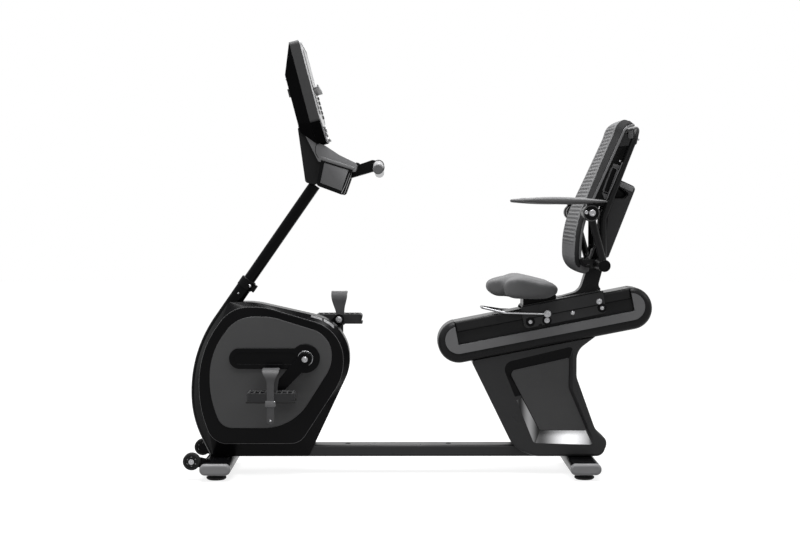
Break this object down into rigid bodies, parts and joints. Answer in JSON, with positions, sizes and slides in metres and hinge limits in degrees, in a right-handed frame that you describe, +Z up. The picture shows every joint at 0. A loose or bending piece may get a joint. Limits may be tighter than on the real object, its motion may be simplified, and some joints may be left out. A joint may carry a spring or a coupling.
{
  "type": "recumbent exercise bike",
  "caption": "Stationary recumbent exercise bike: drive housing with cranks, console on a mast, and a backed seat that slides on a tilted rail.",
  "frame": {"origin": "on the floor, at the middle of the machine's length and width", "axes": "+X towards the seat end, -X towards the console and drive, +Y to the rider's right, +Z up"},
  "size_m": [1.578, 0.6562, 1.4561],
  "materials": {
    "black_paint": "satin powder coat",
    "black_plastic": "fine moulded grain",
    "dark_plastic": "smooth, half gloss",
    "grey_plastic": "fine moulded grain",
    "panel_grey": "fine moulded grain",
    "steel": "bright",
    "anodised": "black anodised",
    "rubber": "matt",
    "seat_foam": "moulded soft foam skin",
    "back_foam": "perforated moulded foam",
    "display": "glossy display face",
    "strap": "flexible moulded strap"
  },
  "bodies": {
    "frame": {"base_beam": "black_paint", "bottle_trays": "grey_plastic", "console_fascia": "display", "console_housing": "grey_plastic", "console_neck": "black_plastic", "crank_covers": "dark_plastic", "drive_shroud": "black_plastic", "foot_caps": "grey_plastic", "front_foot_beam": "black_paint", "front_spine": "black_paint", "grip_caps": "grey_plastic", "grip_sleeves": "steel", "handlebar": "black_paint", "levelling_feet": "rubber", "mast_collar": "black_plastic", "mast_tube": "black_paint", "neck_cover": "grey_plastic", "pedestal": "black_plastic", "pedestal_panels": "panel_grey", "rail_housing": "black_plastic", "rail_rings": "grey_plastic", "rear_foot_beam": "black_paint", "seat_rail": "anodised", "shroud_panels": "panel_grey", "shroud_rings": "dark_plastic", "wheel_axles": "steel", "wheel_brackets": "black_paint"},
    "crank": {"crank_axles": "steel", "crank_arms": "black_paint", "crank_bolts": "steel"},
    "pedal_left": {"pedal_left": "grey_plastic", "pedal_strap_left": "strap"},
    "pedal_right": {"pedal_right": "grey_plastic", "pedal_strap_right": "strap"},
    "wheel_left": {"transport_wheel_left": "rubber"},
    "wheel_right": {"transport_wheel_right": "rubber"},
    "seat": {"carriage": "black_paint", "carriage_runners": "black_plastic", "seat_bracket": "black_paint", "seat_cushion": "seat_foam", "seat_lever": "steel", "lever_pivots": "steel", "back_post": "black_paint", "cross_tube": "black_paint", "back_tube": "black_paint", "shell_brackets": "black_paint", "back_shell": "black_plastic", "back_pad": "back_foam", "back_cover": "black_plastic", "arm_supports": "black_paint"},
    "armrest_left": {"arm_hub_left": "black_plastic", "arm_pad_left": "grey_plastic"},
    "armrest_right": {"arm_hub_right": "black_plastic", "arm_pad_right": "grey_plastic"}
  },
  "joints": [
    {"name": "crank_spin", "type": "hinge", "parent": "frame", "child": "crank", "pos_m": [-0.386, 0, 0.397], "axis": [0, 1, 0], "continuous": true},
    {"name": "pedal_left_spin", "type": "hinge", "parent": "crank", "child": "pedal_left", "pos_m": [-0.49415, -0.16, 0.27773], "axis": [0, 1, 0], "continuous": true},
    {"name": "pedal_right_spin", "type": "hinge", "parent": "crank", "child": "pedal_right", "pos_m": [-0.27785, 0.16, 0.51627], "axis": [0, 1, 0], "continuous": true},
    {"name": "wheel_left_spin", "type": "hinge", "parent": "frame", "child": "wheel_left", "pos_m": [-0.76, -0.16, 0.062], "axis": [0, 1, 0], "continuous": true},
    {"name": "wheel_right_spin", "type": "hinge", "parent": "frame", "child": "wheel_right", "pos_m": [-0.76, 0.16, 0.062], "axis": [0, 1, 0], "continuous": true},
    {"name": "seat_slide", "type": "slide", "parent": "frame", "child": "seat", "axis": [0.9816, 0, 0.1908], "range_m": [-0.2, 0.06]},
    {"name": "armrest_left_fold", "type": "hinge", "parent": "seat", "child": "armrest_left", "pos_m": [0.551, -0.28, 0.888], "axis": [0, 1, 0], "range_deg": [0, 100]},
    {"name": "armrest_right_fold", "type": "hinge", "parent": "seat", "child": "armrest_right", "pos_m": [0.551, 0.28, 0.888], "axis": [0, 1, 0], "range_deg": [0, 100]}
  ]
}
